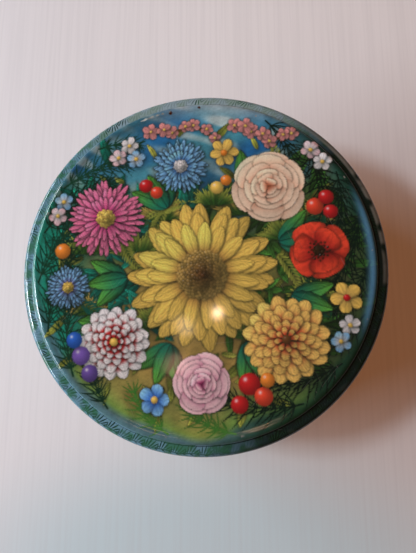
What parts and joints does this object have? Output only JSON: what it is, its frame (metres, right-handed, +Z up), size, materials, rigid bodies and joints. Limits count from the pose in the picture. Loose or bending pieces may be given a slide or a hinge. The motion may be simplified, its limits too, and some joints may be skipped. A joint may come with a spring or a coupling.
{
  "type": "biscuit tin",
  "caption": "Round printed tinplate biscuit tin: a lift-off lid with a raised, edged panel over a side-seamed wall and a recessed, hooked-on base.",
  "frame": {"origin": "centre of the plane that the tin stands on, under the middle of its foot ring", "axes": "+Z up along the tin's axis, +X to the right and -Y towards the viewer of the picture; the side seam is at the back, towards +Y"},
  "size_m": [0.196, 0.196, 0.075],
  "materials": {
    "lid": "garden print in blue-teal, green and ochre under gloss varnish outside, bright tin inside",
    "body_wall": "blue-grey print with a leaf garland under gloss varnish outside, bright tin inside",
    "base": "bare tinplate, lightly scuffed where it stands"
  },
  "bodies": {
    "root": {"lid": "lid", "body_wall": "body_wall", "base": "base"}
  },
  "joints": []
}
